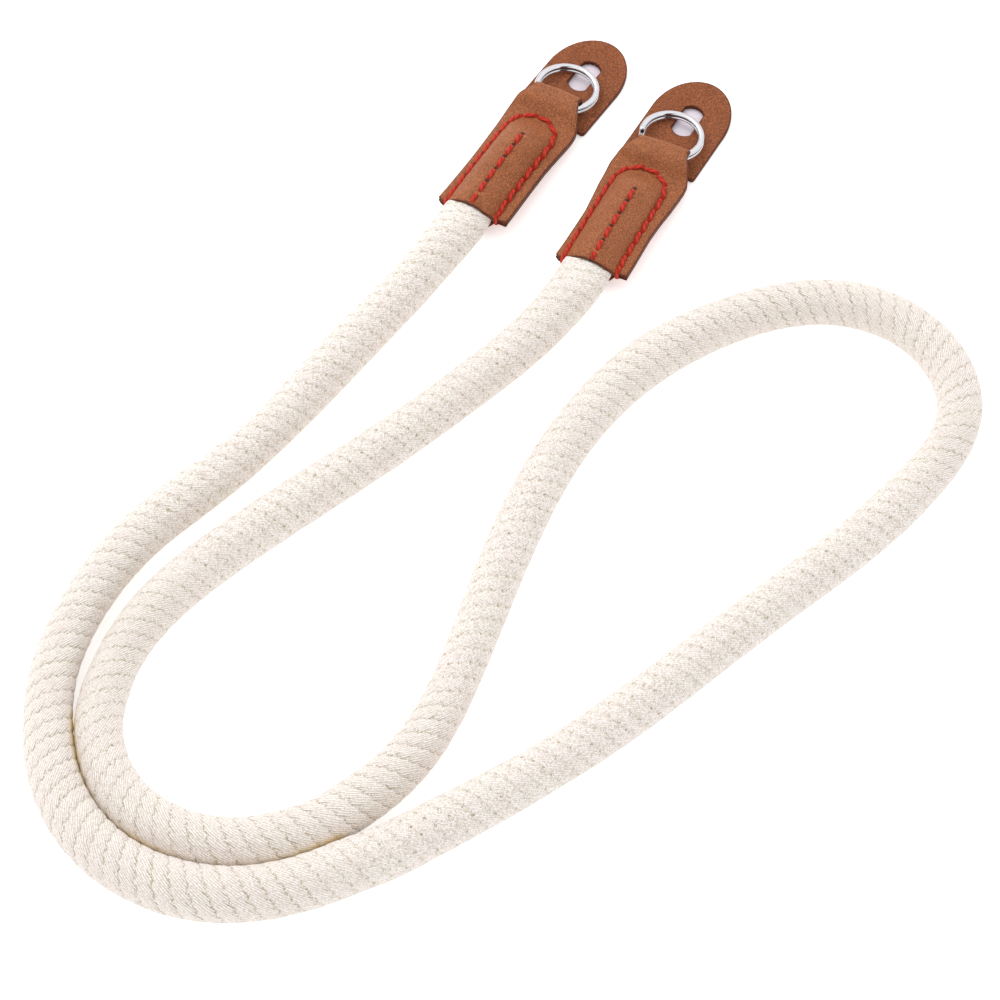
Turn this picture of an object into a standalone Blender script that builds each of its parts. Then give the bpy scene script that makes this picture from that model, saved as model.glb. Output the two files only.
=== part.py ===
"""Camera neck strap, lying loose on a flat surface.

A cream braided cotton rope runs round in one open loop between two tan leather ends.
Each end is one strip of leather, folded in half round a split ring and closed over the
last stretch of the rope. A leather guard with a slot lies under the ring and keeps it
off the camera.

+Z is up and the surface is z = 0. The leather ends lie side by side and point along +Y,
with the origin under the middle of the box round them. All sizes are in millimetres.
"""
import math

import bmesh
import bpy
import numpy as np
from mathutils import Vector

MM = 0.001
WELD = 0.01                # points closer than this become one
GAP = 0.3                  # left between pieces that touch
LEATHER = 1.2              # thickness of every piece of leather

# The rope.
ROPE_D = 11.2
ROPE_R = ROPE_D / 2
TURN_STEP = 13.0           # degrees that the rope turns between two points of the tube
RUN_STEP = 2.5 * ROPE_D    # longest straight between two points of the tube
LINE_STEP = 0.5            # between the points of the smooth line that the tube is read from

# The middle line of the rope on the surface, from the left leather end to the right one.
ROUTE = [
    (-15.6, -30.7), (-16.7, -53.4), (-19.6, -76.0), (-22.5, -98.5), (-27.1, -120.8),
    (-33.4, -142.6), (-34.5, -165.2), (-28.5, -187.1), (-14.5, -204.6), (6.5, -212.7),
    (28.4, -207.9), (45.3, -192.8), (57.4, -173.7), (68.3, -153.7), (77.8, -133.1),
    (85.7, -111.8), (93.4, -90.4), (101.3, -69.0), (107.0, -47.0), (106.2, -24.5),
    (89.2, -10.9), (67.1, -13.7), (50.6, -29.1), (39.8, -49.0), (35.2, -71.2),
    (35.8, -93.9), (39.4, -116.4), (43.7, -138.7), (44.9, -161.3), (37.2, -182.5),
    (20.9, -197.8), (-1.1, -198.7), (-17.2, -183.2), (-21.1, -161.0), (-15.9, -139.0),
    (-7.8, -117.8), (0.7, -96.7), (8.2, -75.2), (14.3, -53.3), (15.8, -30.7),
]

# The leather presses the rope flat. "out" is measured from the leather's mouth along the
# rope, and is negative inside the leather.
PRESSED = [
    # out, bottom, top, half_width
    (14.0, 0.0, 11.2, 5.6),
    (9.0, 0.15, 10.7, 5.65),
    (4.0, 0.8, 9.2, 5.6),
    (0.0, 1.45, 7.85, 5.45),
    (-4.0, 1.5, 7.75, 5.1),
    (-16.0, 1.5, 7.3, 5.1),
    (-23.0, 1.5, 6.4, 4.6),
]

# Each leather end is drawn with its mouth at the origin and its length along +Y.
SIDES = ("left", "right")
MOUTH = {"left": ROUTE[0], "right": ROUTE[-1]}
HEADING = {"left": 89.0, "right": 93.2}   # degrees, the way that the leather points
SEAM_HALF = 6.1            # from the middle to the two long rows of stitches
BULGE_POWER = 0.7          # below 1 the bulge over the rope is fuller than a parabola

# Half of the folded strip, from its mouth to the start of the bend round the ring, with
# its width to the left and to the right of the rope. The two layers meet at seam_z. Between the rows of stitches the upper one rises and the
# lower one drops round the rope, and past them the upper one lifts over the ring.
STRIP = [
    # along, left, right, seam_z, rise, drop, lift
    (0.0, 8.5, 8.7, 4.4, 3.6, 3.05, 0.0),
    (3.0, 8.25, 8.8, 4.4, 3.6, 3.05, 0.0),
    (8.0, 8.05, 8.75, 4.3, 3.65, 2.95, 0.0),
    (13.0, 8.0, 8.75, 4.1, 3.75, 2.75, 0.0),
    (18.0, 8.1, 8.85, 3.8, 3.75, 2.45, 0.0),
    (22.0, 8.25, 9.0, 3.5, 3.6, 2.15, 0.0),
    (25.0, 8.4, 9.15, 3.2, 2.7, 1.4, 0.0),
    (27.5, 8.6, 9.25, 2.95, 1.3, 0.3, 0.0),
    (29.5, 8.75, 9.3, 2.85, 0.4, 0.0, 0.0),
    (31.5, 8.75, 9.15, 2.85, 0.0, 0.0, 0.1),
    (33.0, 8.4, 8.65, 2.85, 0.0, 0.0, 0.9),
    (34.5, 7.75, 7.8, 2.85, 0.0, 0.0, 2.05),
    (36.0, 6.85, 6.85, 2.85, 0.0, 0.0, 2.35),
    (37.4, 6.0, 6.0, 2.85, 0.0, 0.0, 2.2),
    (38.7, 5.3, 5.3, 2.85, 0.0, 0.0, 1.9),
]
BEND_R = 1.1               # inside radius of the fold
BEND_HALF = 5.1            # half the width of the strip at the fold
BEND_STEPS = 5
ACROSS = 16                # faces across the strip

# The split ring: two turns of flattened wire.
RING_R = 7.05              # to the middle of the wire
WIRE_WIDE = 1.4
WIRE_HIGH = 0.72
COIL_PITCH = 0.78
RING_ALONG = 43.4          # from the mouth to the ring's middle
RING_Z = 3.15
RING_TILT = 6.6            # degrees down from the fold to the guard
RING_END = {"left": 250.0, "right": 197.0}   # degrees round the ring to the wire's ends
CROSSING = 0.11            # share of a turn in which the wire drops to the lower turn
RING_STEPS = 36            # a turn
WIRE_SIDES = 8

# The guard: a leather tab with a round end, a slot, and a narrow tail that is sewn flat
# under the leather end by the top of the seam.
GUARD_ALONG = {"left": 34.7, "right": 35.1}   # from the mouth to the square shoulders
GUARD_YAW = -3.5           # degrees that the guard is turned to the right
GUARD_HALF = 9.6
GUARD_LONG = 26.8
GUARD_TIP = 12.5           # length of the round end
TIP_STEPS = 28
CORNER_R = 0.8
CORNER_STEPS = 3
TAIL_HALF = 4.5
TAIL_LONG = 5.8
SLOT_HALF = 2.45
SLOT_FROM = 10.3
SLOT_TO = 19.6
SLOT_ARC = 1.3             # height of the curved ends of the slot
SLOT_STEPS = 8


# ---------------------------------------------------------------- small helpers

def table(rows, at):
    """The other columns of a table at a value of its first one."""
    rows = np.array(sorted(rows))
    return [float(np.interp(at, rows[:, 0], column)) for column in rows[:, 1:].T]


def direction(degrees):
    return np.array([math.cos(math.radians(degrees)), math.sin(math.radians(degrees))])


def material(name, colour, roughness, metallic=0.0):
    made = bpy.data.materials.new(name)
    made.use_nodes = True
    shader = made.node_tree.nodes["Principled BSDF"]
    shader.inputs["Base Color"].default_value = (*colour, 1.0)
    shader.inputs["Roughness"].default_value = roughness
    shader.inputs["Metallic"].default_value = metallic
    return made


def add_object(name, data, finish, collection):
    made = bpy.data.objects.new(name, data)
    collection.objects.link(made)
    data.materials.append(finish)
    return made


def polyline(curve, points, closed=False):
    """Adds a straight-sided spline through 2D or 3D points in millimetres."""
    spline = curve.splines.new("POLY")
    spline.points.add(len(points) - 1)
    for knot, point in zip(spline.points, points):
        knot.co = (*(Vector(point).to_3d() * MM), 1.0)
    spline.use_cyclic_u = closed
    return spline


def tube(name, points):
    """A curve through 3D points, ready for a bevel, with closed ends."""
    curve = bpy.data.curves.new(name, "CURVE")
    curve.dimensions = "3D"
    curve.twist_mode = "Z_UP"
    curve.use_fill_caps = True
    polyline(curve, points)
    return curve


def seat(obj, side, along=0.0, z=0.0, yaw=0.0):
    """Puts a piece drawn along +Y on a leather end."""
    spot = np.array(MOUTH[side]) + direction(HEADING[side]) * along
    obj.location = Vector((*spot, z)) * MM
    obj.rotation_euler.z = math.radians(HEADING[side] - 90.0 + yaw)


# ---------------------------------------------------------------- the rope

def smooth_line(points, start, finish):
    """A cubic spline through the points that leaves and arrives in given directions."""
    knots = np.array(points, float)
    spans = np.linalg.norm(np.diff(knots, axis=0), axis=1)
    count = len(knots)
    system = np.eye(count)
    target = np.zeros_like(knots)
    target[0] = start
    target[-1] = finish
    for i in range(1, count - 1):
        before, after = spans[i - 1], spans[i]
        system[i, i - 1:i + 2] = after, 2 * (before + after), before
        target[i] = 3 * (after / before * (knots[i] - knots[i - 1])
                         + before / after * (knots[i + 1] - knots[i]))
    slopes = np.linalg.solve(system, target)
    pieces = []
    for i, span in enumerate(spans):
        u = np.arange(0, 1, LINE_STEP / span)[:, None]
        pieces.append((2 * u**3 - 3 * u**2 + 1) * knots[i]
                      + (u**3 - 2 * u**2 + u) * span * slopes[i]
                      + (3 * u**2 - 2 * u**3) * knots[i + 1]
                      + (u**3 - u**2) * span * slopes[i + 1])
    pieces.append(knots[-1:])
    return np.vstack(pieces)


def tube_points():
    """Points along the rope, closer together where it bends and where it is pressed."""
    line = smooth_line(ROUTE, -direction(HEADING["left"]), direction(HEADING["right"]))
    run = np.concatenate([[0], np.cumsum(np.linalg.norm(np.diff(line, axis=0), axis=1))])
    steps = np.diff(line, axis=0)
    angle = np.degrees(np.unwrap(np.arctan2(steps[:, 1], steps[:, 0])))
    outs = sorted(row[0] for row in PRESSED)
    free = max(outs)
    picked = [free]
    last = angle[np.searchsorted(run, free)]
    for i in range(1, len(steps)):
        if run[i] <= picked[-1] or run[i] > run[-1] - free - ROPE_R:
            continue
        turned = abs(angle[i] - last)
        if turned >= TURN_STEP or run[i] - picked[-1] >= RUN_STEP:
            picked.append(run[i])
            last = angle[i]
    picked.append(run[-1] - free)
    near = [out for out in outs if 0 <= out < free]
    picked = near + picked + [run[-1] - out for out in reversed(near)]
    points = [np.array([np.interp(at, run, axis) for axis in line.T]) for at in picked]
    inside = [-out for out in outs if out < 0]
    before = [points[0] + direction(HEADING["left"]) * deep for deep in inside]
    after = [points[-1] + direction(HEADING["right"]) * deep for deep in reversed(inside)]
    return [(*point, ROPE_R) for point in before + points + after]


def press_flat(mesh, side):
    """Flattens one end of the rope to the sizes in PRESSED."""
    ahead = direction(HEADING[side])
    across = np.array([ahead[1], -ahead[0]])
    mouth = np.array(MOUTH[side])
    reach = max(row[0] for row in PRESSED)
    for vertex in mesh.vertices:
        place = np.array(vertex.co.xy) / MM - mouth
        out, sideways = -place @ ahead, place @ across
        if out >= reach or abs(sideways) > ROPE_D:
            continue
        bottom, top, half = table(PRESSED, out)
        height = bottom + (top - bottom) * vertex.co.z / MM / ROPE_D
        shift = across * sideways * (half / ROPE_R - 1.0)
        vertex.co.x += shift[0] * MM
        vertex.co.y += shift[1] * MM
        vertex.co.z = height * MM


def make_rope(finish, collection):
    curve = tube("rope", tube_points())
    curve.bevel_depth = ROPE_R * MM
    curve.bevel_resolution = 4
    drawn = bpy.data.objects.new("rope_line", curve)
    collection.objects.link(drawn)
    bpy.context.view_layer.update()
    mesh = bpy.data.meshes.new_from_object(
        drawn.evaluated_get(bpy.context.evaluated_depsgraph_get()))
    bpy.data.objects.remove(drawn)
    welded = bmesh.new()
    welded.from_mesh(mesh)
    bmesh.ops.remove_doubles(welded, verts=welded.verts, dist=WELD * MM)
    welded.to_mesh(mesh)
    welded.free()
    for side in SIDES:
        press_flat(mesh, side)
    mesh.shade_smooth()
    return add_object("rope", mesh, finish, collection)


# ---------------------------------------------------------------- the leather ends

def bulge(across):
    """From 1 over the middle of the rope to 0 at the rows of stitches."""
    return max(0.0, 1.0 - (across / SEAM_HALF) ** 2) ** BULGE_POWER


def strip_sections():
    """The inner face of the folded strip, as rows of points from mouth to mouth."""
    share = [2.0 * i / ACROSS - 1.0 for i in range(ACROSS + 1)]
    upper, lower = [], []
    for along, left, right, seam_z, rise, drop, lift in STRIP:
        xs = [part * (right if part > 0 else left) for part in share]
        upper.append([(x, along, seam_z + GAP / 2 + lift + rise * bulge(x)) for x in xs])
        lower.append([(x, along, seam_z - GAP / 2 - drop * bulge(x)) for x in xs])
    bend_y, _, _, last_seam_z, *_ = STRIP[-1]
    bend_z = last_seam_z - GAP / 2 + BEND_R
    bend = []
    for i in range(1, BEND_STEPS + 1):
        turn = math.pi * (0.5 - i / (BEND_STEPS + 1))
        y, z = bend_y + BEND_R * math.cos(turn), bend_z + BEND_R * math.sin(turn)
        bend.append([(BEND_HALF * part, y, z) for part in share])
    return upper + bend + lower[::-1]


def strip_mesh():
    """Lofts the sections into one open sheet that faces outwards."""
    sheet = bmesh.new()
    rows = [[sheet.verts.new(Vector(point) * MM) for point in row]
            for row in strip_sections()]
    for near, far in zip(rows, rows[1:]):
        for i in range(ACROSS):
            sheet.faces.new((near[i], near[i + 1], far[i + 1], far[i]))
    mesh = bpy.data.meshes.new("leather_end")
    sheet.to_mesh(mesh)
    sheet.free()
    mesh.shade_smooth()
    return mesh


def make_leather_ends(finish, collection):
    mesh = strip_mesh()
    mesh.materials.append(finish)
    for side in SIDES:
        end = bpy.data.objects.new("leather_end_" + side, mesh)
        collection.objects.link(end)
        wall = end.modifiers.new("wall", "SOLIDIFY")
        wall.thickness = LEATHER * MM
        wall.offset = 1.0
        wall.use_even_offset = True
        seat(end, side)


# ---------------------------------------------------------------- the split rings

def coil_points(end):
    """Nearly two level turns, clockwise. The upper one slopes down past its own end."""
    points = []
    for i in range(round((2 - CROSSING) * RING_STEPS) + 1):
        turns = i / RING_STEPS
        sunk = min(max((turns - 1 + CROSSING) / CROSSING, 0.0), 1.0)
        angle = math.radians(end) - math.tau * turns
        points.append((RING_R * math.cos(angle), RING_R * math.sin(angle),
                       COIL_PITCH * (0.5 - sunk**2 * (3 - 2 * sunk))))
    return points


def make_rings(finish, collection, guides):
    section = bpy.data.curves.new("wire_section", "CURVE")
    section.dimensions = "2D"
    around = [-math.tau * i / WIRE_SIDES for i in range(WIRE_SIDES)]
    polyline(section, [(WIRE_WIDE / 2 * math.cos(a), WIRE_HIGH / 2 * math.sin(a))
                       for a in around], closed=True)
    outline = bpy.data.objects.new("wire_section", section)
    outline.hide_render = True
    outline.display_type = "WIRE"
    guides.objects.link(outline)
    for side in SIDES:
        curve = tube("split_ring_" + side, coil_points(RING_END[side]))
        curve.bevel_mode = "OBJECT"
        curve.bevel_object = outline
        ring = add_object("split_ring_" + side, curve, finish, collection)
        seat(ring, side, along=RING_ALONG, z=RING_Z)
        ring.rotation_euler.x = math.radians(-RING_TILT)


# ---------------------------------------------------------------- the guards

def arc(centre, radii, start, stop, steps):
    """Points on an ellipse's arc, in degrees."""
    turns = [math.radians(start + (stop - start) * i / steps) for i in range(steps + 1)]
    return [(centre[0] + radii[0] * math.cos(a), centre[1] + radii[1] * math.sin(a))
            for a in turns]


def guard_outline():
    shoulder = GUARD_HALF - CORNER_R
    points = [(-TAIL_HALF, -TAIL_LONG), (TAIL_HALF, -TAIL_LONG), (TAIL_HALF, 0.0)]
    points += arc((shoulder, CORNER_R), (CORNER_R, CORNER_R), -90, 0, CORNER_STEPS)
    points += arc((0.0, GUARD_LONG - GUARD_TIP), (GUARD_HALF, GUARD_TIP), 0, 180, TIP_STEPS)
    points += arc((-shoulder, CORNER_R), (CORNER_R, CORNER_R), 180, 270, CORNER_STEPS)
    return points + [(-TAIL_HALF, 0.0)]


def slot_outline():
    """Two straight sides joined by shallow arcs."""
    radius = (SLOT_HALF**2 + SLOT_ARC**2) / (2 * SLOT_ARC)
    spread = math.degrees(math.asin(SLOT_HALF / radius))
    ends = []
    for middle, facing in ((SLOT_TO - radius, 90), (SLOT_FROM + radius, 270)):
        ends += arc((0.0, middle), (radius, radius), facing - spread, facing + spread,
                    SLOT_STEPS)
    return ends


def make_guards(finish, collection):
    for side in SIDES:
        name = "ring_guard_" + side
        curve = bpy.data.curves.new(name, "CURVE")
        curve.dimensions = "2D"
        curve.fill_mode = "BOTH"
        curve.extrude = LEATHER / 2 * MM
        polyline(curve, guard_outline(), closed=True)
        polyline(curve, slot_outline(), closed=True)
        guard = add_object(name, curve, finish, collection)
        seat(guard, side, along=GUARD_ALONG[side], z=LEATHER / 2, yaw=GUARD_YAW)


# ---------------------------------------------------------------- the strap

def new_collection(name):
    made = bpy.data.collections.new(name)
    bpy.context.scene.collection.children.link(made)
    return made


def build():
    for old in list(bpy.data.objects):
        bpy.data.objects.remove(old)
    strap = new_collection("camera_neck_strap")
    guides = new_collection("guides")
    cotton = material("cream_cotton", (0.86, 0.79, 0.70), 0.95)
    end_leather = material("tan_end_leather", (0.36, 0.15, 0.07), 0.6)
    guard_leather = material("tan_guard_leather", (0.33, 0.14, 0.07), 0.65)
    steel = material("polished_steel", (0.78, 0.78, 0.80), 0.12, 1.0)
    make_rope(cotton, strap)
    make_leather_ends(end_leather, strap)
    make_rings(steel, strap, guides)
    make_guards(guard_leather, strap)


build()
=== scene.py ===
"""Looks of a camera neck strap: braided cotton rope, stitched leather ends, split rings.

The strap lies loose on a pale surface. Sizes are written in millimetres and turned into
metres with MM where a mesh is made. A section gives the sizes and colours of its piece
first, and then how it is made.
"""
import math

import bmesh
import bpy
import numpy as np
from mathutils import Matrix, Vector
from mathutils.bvhtree import BVHTree


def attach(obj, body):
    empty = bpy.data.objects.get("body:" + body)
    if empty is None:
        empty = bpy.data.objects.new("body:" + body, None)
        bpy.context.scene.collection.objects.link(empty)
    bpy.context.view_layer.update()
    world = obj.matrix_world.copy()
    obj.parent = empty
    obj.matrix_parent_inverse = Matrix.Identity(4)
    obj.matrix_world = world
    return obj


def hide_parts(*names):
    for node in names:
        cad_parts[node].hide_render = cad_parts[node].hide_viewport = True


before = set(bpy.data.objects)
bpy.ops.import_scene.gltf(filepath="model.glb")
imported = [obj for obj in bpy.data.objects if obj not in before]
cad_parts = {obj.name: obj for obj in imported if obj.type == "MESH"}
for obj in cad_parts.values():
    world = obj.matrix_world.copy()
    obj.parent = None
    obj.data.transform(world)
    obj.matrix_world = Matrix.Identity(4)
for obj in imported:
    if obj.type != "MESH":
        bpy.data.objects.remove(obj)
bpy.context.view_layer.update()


# ================================================================ the surface and light
# A softly glowing white table in a light tent. One large soft lamp stands behind the
# strap's upper left, a dark screen leans over it from the front right, and a grey seam runs
# round the tent.

MM = 0.001
VIEW_PLACE = (0.2326, -0.4481, 0.6549)  # in metres, as the lamp's place is
VIEW_TURN = (32.0, 0.0, 30.0)
VIEW_LENS, VIEW_SENSOR = 126.0, 36.0

TABLE_HALF = 2.5  # in metres
TABLE_GLOW = 0.42
TABLE_WHITE = ((0.93, 0.93, 0.93), (0.95, 0.95, 0.95))
COVERED = [(-13.8, 18.9, 0.0), (13.9, 19.3, 0.0)]  # under the slots of the ring guards
COVERED_R, CLEAR_R = 5.0, 8.0  # painted shade on the table within the first, white past the second
# Painted shade on the table seen through the guards' slots, where its glow is also cut.
SLOT_PAINTED_SHADE = (0.82, 0.75, 0.82)

TENT_GLOW = 1.3
# How bright the tent is, from level, 0, to straight up, 1.
TENT_BANDS = [(0.0, 1.0), (0.2, 1.0), (0.27, 0.4), (0.35, 0.4), (0.42, 0.97), (0.8, 0.95)]
SCREEN = (0.595, -0.517, 0.616)  # the way to the dark screen, and straight to one side of it
SCREEN_SIDE = (0.656, 0.755, 0.0)
SCREEN_ENDS = (0.72, 0.80)  # cosines between which it fades in from its two ends
SCREEN_EDGES = (0.27, 0.19)  # and sines between which it does from its long edges
SCREEN_DARK = (0.03, 0.02, 0.03)

LAMP_PLACE, LAMP_AIM = (-0.75, 0.35, 0.95), (0.03, -0.08, 0.0)
LAMP_WIDE, LAMP_WATTS = 0.7, 4.2


class Shade:
    """A value or colour inside a material. Sums on it add the nodes that work them out."""

    def __init__(self, tree, socket=None):
        self.tree = tree
        self.socket = socket

    def node(self, kind, settings=None, inputs=None, output=0):
        """Any node: its settings first, then the values or links of its sockets."""
        made = self.tree.nodes.new("ShaderNode" + kind)
        for name, value in (settings or {}).items():
            if name == "stops":
                while len(made.color_ramp.elements) < len(value):
                    made.color_ramp.elements.new(1.0)
                for stop, (place, grey) in zip(made.color_ramp.elements, value):
                    stop.position = place
                    stop.color = (grey, grey, grey, 1.0)
            else:
                setattr(made, name, value)
        for name, value in (inputs or {}).items():
            if isinstance(value, Shade):
                self.tree.links.new(value.socket, made.inputs[name])
            else:
                made.inputs[name].default_value = value
        return Shade(self.tree, made.outputs[output])

    def maths(self, operation, *values):
        return self.node("Math", {"operation": operation}, dict(enumerate(values)))

    def __add__(self, other):
        return self.maths("ADD", self, other)

    __radd__ = __add__

    def __sub__(self, other):
        return self.maths("SUBTRACT", self, other)

    def __rsub__(self, other):
        return self.maths("SUBTRACT", other, self)

    def __mul__(self, other):
        return self.maths("MULTIPLY", self, other)

    __rmul__ = __mul__

    def __truediv__(self, other):
        return self.maths("DIVIDE", self, other)

    def __rtruediv__(self, other):
        return self.maths("DIVIDE", other, self)

    def __abs__(self):
        return self.maths("ABSOLUTE", self)

    def floor(self):
        return self.maths("FLOOR", self)

    def least(self, other):
        return self.maths("MINIMUM", self, other)

    def between(self, low, high):
        """From 0 at low to 1 at high, with soft ends."""
        return self.node("MapRange", {"interpolation_type": "SMOOTHSTEP"},
                         {"Value": self, "From Min": low, "From Max": high})

    def mix(self, share, first, second):
        """The first colour where share is 0 and the second where it is 1."""
        return self.node("Mix", {"data_type": "RGBA"},
                         {0: share, 6: opaque(first), 7: opaque(second)}, output=2)

    def attribute(self, name):
        """A number that the mesh holds for each of its points."""
        return self.node("Attribute", {"attribute_name": name}, output=2)

    def millimetres(self):
        """Where a point is on the object, in millimetres."""
        place = self.node("TexCoord", output=3)
        return self.node("VectorMath", {"operation": "SCALE"}, {0: place, "Scale": 1 / MM})

    def noise(self, place, per_mm, detail=2.0, rough=0.5):
        return self.node("TexNoise", None, {"Vector": place, "Scale": per_mm,
                                            "Detail": detail, "Roughness": rough})


def opaque(colour):
    """A colour as a socket takes it, with its alpha, or a Shade as it is."""
    return (*colour, 1.0) if isinstance(colour, tuple) else colour


def finish(name, fixed, work_out):
    """A material: fixed values straight on the shader, and what work_out gives it."""
    made = bpy.data.materials.new(name)
    made.use_nodes = True
    shader = made.node_tree.nodes["Principled BSDF"]
    for socket, value in fixed.items():
        shader.inputs[socket].default_value = value
    for socket, value in work_out(Shade(made.node_tree)).items():
        made.node_tree.links.new(value.socket, shader.inputs[socket])
    return made


def table_white(shade):
    """White, with painted shade: a duller grey and no glow where the ring guards cover it and it
    only shows through a slot.
    """
    place = shade.millimetres()
    nearest = shade.maths("MINIMUM", *(
        shade.node("VectorMath", {"operation": "DISTANCE"}, {0: place, 1: spot}, output=1)
        for spot in COVERED))
    # The painted shade: grey and no glow near a slot, plain glowing white further off.
    unshaded = nearest.between(COVERED_R, CLEAR_R)
    white = shade.mix(shade.noise(place, 0.02), *TABLE_WHITE)
    return {"Base Color": shade.mix(unshaded, SLOT_PAINTED_SHADE, white),
            "Emission Color": shade.mix(unshaded, (0.0, 0.0, 0.0), (1.0, 1.0, 1.0))}


def placed(name, data, place, turn):
    """The camera or the lamp at its place."""
    made = bpy.data.objects.new(name, data)
    made.location = place
    made.rotation_euler = turn
    bpy.context.scene.collection.objects.link(made)
    return made


camera = placed("camera", bpy.data.cameras.new("camera"), VIEW_PLACE,
                [math.radians(angle) for angle in VIEW_TURN])
camera.data.lens = VIEW_LENS
camera.data.sensor_width = VIEW_SENSOR
bpy.context.scene.camera = camera
bpy.context.scene.view_settings.view_transform = "Standard"

bpy.ops.mesh.primitive_plane_add(size=2 * TABLE_HALF)
surface = bpy.context.object
surface.name = "table"
surface.data.materials.append(finish(
    "table_white", {"Roughness": 0.9, "Emission Strength": TABLE_GLOW}, table_white))

tent = bpy.data.worlds.new("tent")
tent.use_nodes = True
sky = Shade(tent.node_tree)
upward = sky.node("SeparateXYZ", None, {0: sky.node("TexCoord")}, output=2)
glow = sky.node("ValToRGB", {"stops": TENT_BANDS}, {0: upward})
facing, aside = (sky.node("VectorMath", {"operation": "DOT_PRODUCT"},
                          {0: sky.node("TexCoord"), 1: way}, output=1)
                 for way in (SCREEN, SCREEN_SIDE))
screen = facing.between(*SCREEN_ENDS) * abs(aside).between(*SCREEN_EDGES)
dim = sky.mix(screen, glow, SCREEN_DARK)
tent.node_tree.links.new(dim.socket, tent.node_tree.nodes["Background"].inputs["Color"])
tent.node_tree.nodes["Background"].inputs["Strength"].default_value = TENT_GLOW
bpy.context.scene.world = tent

lamp_way = Vector(LAMP_AIM) - Vector(LAMP_PLACE)
lamp = placed("soft_lamp", bpy.data.lights.new("soft_lamp", "AREA"), LAMP_PLACE,
              lamp_way.to_track_quat("-Z", "Y").to_euler())
lamp.data.shape = "SQUARE"
lamp.data.size = LAMP_WIDE
lamp.data.energy = LAMP_WATTS


# ================================================================ the rope
# One length of cotton rope about 11 mm thick, braided round a core from bundles of some
# five yarns. The bundles of one way round cover the others, most of all in the bends.
# Its ends are pressed flat where the leather is sewn over them.

LINE_STEP = 0.5  # from one point of the middle line to the next
ROPE_D = 11.2
ROPE_R = ROPE_D / 2
ROPE_IN = 23.0  # length of rope inside each leather end
HEADING = {"left": 89.0, "right": 93.2}  # degrees, the way that the leather ends point

# The middle line of the rope on the table, from the left leather end to the right one.
ROUTE = [
    (-15.6, -30.7), (-16.7, -53.4), (-19.6, -76.0), (-22.5, -98.5), (-27.1, -120.8),
    (-33.4, -142.6), (-34.5, -165.2), (-28.5, -187.1), (-14.5, -204.6), (6.5, -212.7),
    (28.4, -207.9), (45.3, -192.8), (57.4, -173.7), (68.3, -153.7), (77.8, -133.1),
    (85.7, -111.8), (93.4, -90.4), (101.3, -69.0), (107.0, -47.0), (106.2, -24.5),
    (89.2, -10.9), (67.1, -13.7), (50.6, -29.1), (39.8, -49.0), (35.2, -71.2),
    (35.8, -93.9), (39.4, -116.4), (43.7, -138.7), (44.9, -161.3), (37.2, -182.5),
    (20.9, -197.8), (-1.1, -198.7), (-17.2, -183.2), (-21.1, -161.0), (-15.9, -139.0),
    (-7.8, -117.8), (0.7, -96.7), (8.2, -75.2), (14.3, -53.3), (15.8, -30.7),
]
MOUTH = {"left": ROUTE[0], "right": ROUTE[-1]}
PRESSED = [
    # out of the leather, bottom, top, half_width
    (15.0, 0.0, 11.2, 5.6), (10.3, 0.15, 10.7, 5.8), (5.3, 0.8, 9.2, 5.95),
    (1.3, 1.45, 8.1, 5.8), (-3.0, 1.5, 7.75, 5.2), (-16.0, 1.5, 7.3, 5.1),
    (-23.0, 1.5, 6.4, 4.6),
]
LEAN, LEAN_LONG = 0.4, 9.0  # how much fuller its left side is at a mouth, and how far on
# Soft rope isn't equally thick everywhere: its share of the full thickness, by the
# distance from the left leather end.
FULLNESS = [
    (0, 1.0), (20, 0.96), (32, 0.94), (45, 0.98), (60, 0.95), (80, 0.89), (101, 0.98),
    (120, 0.945), (140, 0.905), (158, 0.915), (170, 0.965), (190, 1.0), (205, 1.02),
    (218, 1.065), (240, 1.03), (252, 1.045), (268, 1.02), (282, 0.99), (300, 0.93),
    (325, 0.96), (345, 0.935), (368, 0.90), (400, 0.95), (425, 0.89), (445, 0.93),
    (470, 0.94), (488, 0.91), (503, 0.94), (518, 1.01), (545, 0.96), (580, 0.96),
    (605, 0.905), (622, 0.905), (640, 0.955), (655, 0.985), (672, 1.01), (690, 1.02),
    (701, 1.0), (711, 0.955), (721, 0.93), (740, 0.885), (760, 0.97), (795, 0.965),
    (830, 0.925), (860, 0.945), (887, 1.0),
]
FULL_EVEN, BEND_EVEN, PUSH_EVEN = 31, 81, 21  # steps over which each is evened out
RIB_FROM, RIB_OVER = 0.006, 0.011  # bend, in 1/mm, from which ribs open, and until fully
SAME_RUN = 40.0  # rope nearer than this along its run isn't another run
SQUEEZE = 0.03  # how far two runs that touch are pressed into each other
CLOSE, CLEAR = 0.62, 1.0  # half gaps between runs of rope that are pushed together, or not

# The skin is a lattice of bundles of yarns that show on top. They lie side by side in ribs,
# and each rib runs round the rope like a steep screw thread.
NEXT_RIB = (3.57, -0.34)  # along the rope and round it, to the same bundle of the next rib
NEXT_BUNDLE = (1.02, 2.416)  # and to the next bundle of the same rib
RIB_WIDE = 3.3
ROUND = 14  # bundles in a rib once round the rope,
RIBS_ON = 4  # which is then so many ribs further on
RIBS_BEFORE = 16  # ribs that start before the rope's end and wind into it
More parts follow.
